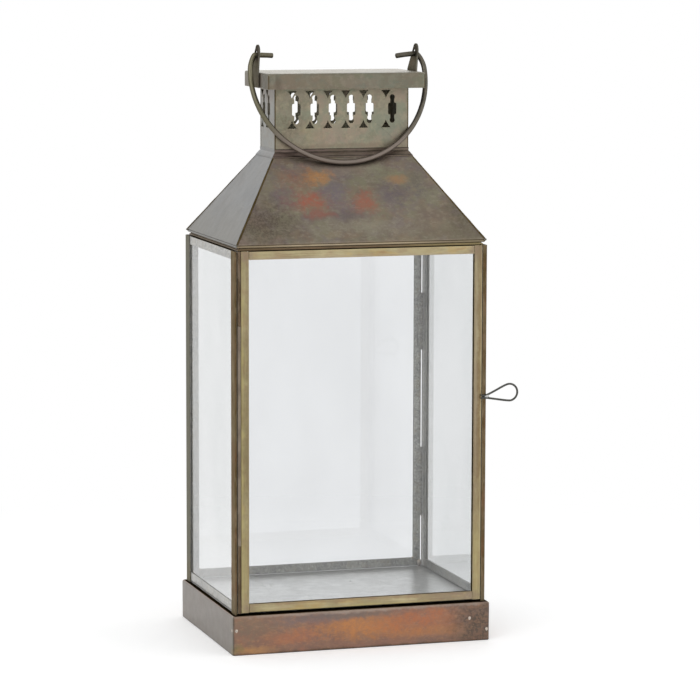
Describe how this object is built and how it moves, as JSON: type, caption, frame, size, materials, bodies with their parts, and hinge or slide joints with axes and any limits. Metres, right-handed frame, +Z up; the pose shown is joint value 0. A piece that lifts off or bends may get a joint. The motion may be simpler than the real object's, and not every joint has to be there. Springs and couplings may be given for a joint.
{
  "type": "lantern",
  "caption": "Rectangular sheet-metal candle lantern with glazed sides, a hinged glazed door with a wire pull, a hipped roof, a pierced vent under a flat cap, and a swinging wire bail.",
  "frame": {"origin": "middle of the underside of the plinth, on the surface that the lantern stands on", "axes": "+Z up, +X to the right along the front, -Y out of the front, where the door opens"},
  "size_m": [0.2222, 0.1502, 0.4452],
  "materials": {
    "copper_patina": "copper-toned patina, satin, mottled",
    "roof_patina": "dark brown and olive patina, satin",
    "roof_side": "grey patina, satin",
    "vent_brass": "khaki patina, satin",
    "post_brown": "brown patina, satin",
    "channel_grey": "dull grey, satin",
    "door_brass": "antique brass, satin",
    "floor_metal": "dull galvanised sheet, satin",
    "dark_wire": "dark patina, satin",
    "glass": "clear sheet glass"
  },
  "bodies": {
    "housing": {"base_tray": "copper_patina", "base_plate": "copper_patina", "floor_plate": "floor_metal", "post_front_left": "post_brown", "post_front_right": "post_brown", "post_rear_left": "post_brown", "post_rear_right": "post_brown", "left_panel_front_stile": "channel_grey", "left_panel_rear_stile": "channel_grey", "left_panel_top_rail": "channel_grey", "left_panel_bottom_rail": "channel_grey", "left_panel_glass": "glass", "right_panel_front_stile": "channel_grey", "right_panel_rear_stile": "channel_grey", "right_panel_top_rail": "channel_grey", "right_panel_bottom_rail": "channel_grey", "right_panel_glass": "glass", "back_panel_left_stile": "channel_grey", "back_panel_right_stile": "channel_grey", "back_panel_top_rail": "channel_grey", "back_panel_bottom_rail": "channel_grey", "back_panel_glass": "glass", "corner_tab_left_lower": "channel_grey", "corner_tab_left_upper": "channel_grey", "corner_tab_right_lower": "channel_grey", "corner_tab_right_upper": "channel_grey", "hinge_knuckle_bottom": "post_brown", "hinge_knuckle_top": "post_brown", "hinge_pin": "dark_wire", "ceiling_frame": "roof_patina", "eave_hem": "roof_patina", "roof_front": "roof_patina", "roof_back": "roof_patina", "roof_right": "roof_side", "roof_left": "roof_side", "vent_collar": "roof_patina", "vent_front": "vent_brass", "vent_right": "vent_brass", "vent_back": "vent_brass", "vent_left": "vent_brass", "vent_cap": "roof_patina", "ear_right": "dark_wire", "ear_left": "dark_wire"},
    "door": {"door_hinge_stile": "door_brass", "door_latch_stile": "door_brass", "door_top_rail": "door_brass", "door_bottom_rail": "door_brass", "door_glass": "glass", "door_knuckle": "door_brass", "door_pull_loop": "dark_wire"},
    "handle": {"bail": "dark_wire"}
  },
  "joints": [
    {"name": "door_hinge", "type": "hinge", "parent": "housing", "child": "door", "pos_m": [-0.0941, -0.0719, 0.1644], "axis": [0, 0, -1], "range_deg": [0, 205]},
    {"name": "bail_swing", "type": "hinge", "parent": "housing", "child": "handle", "pos_m": [0, -0.0045, 0.4374], "axis": [-1, 0, 0], "range_deg": [0, 270]}
  ]
}
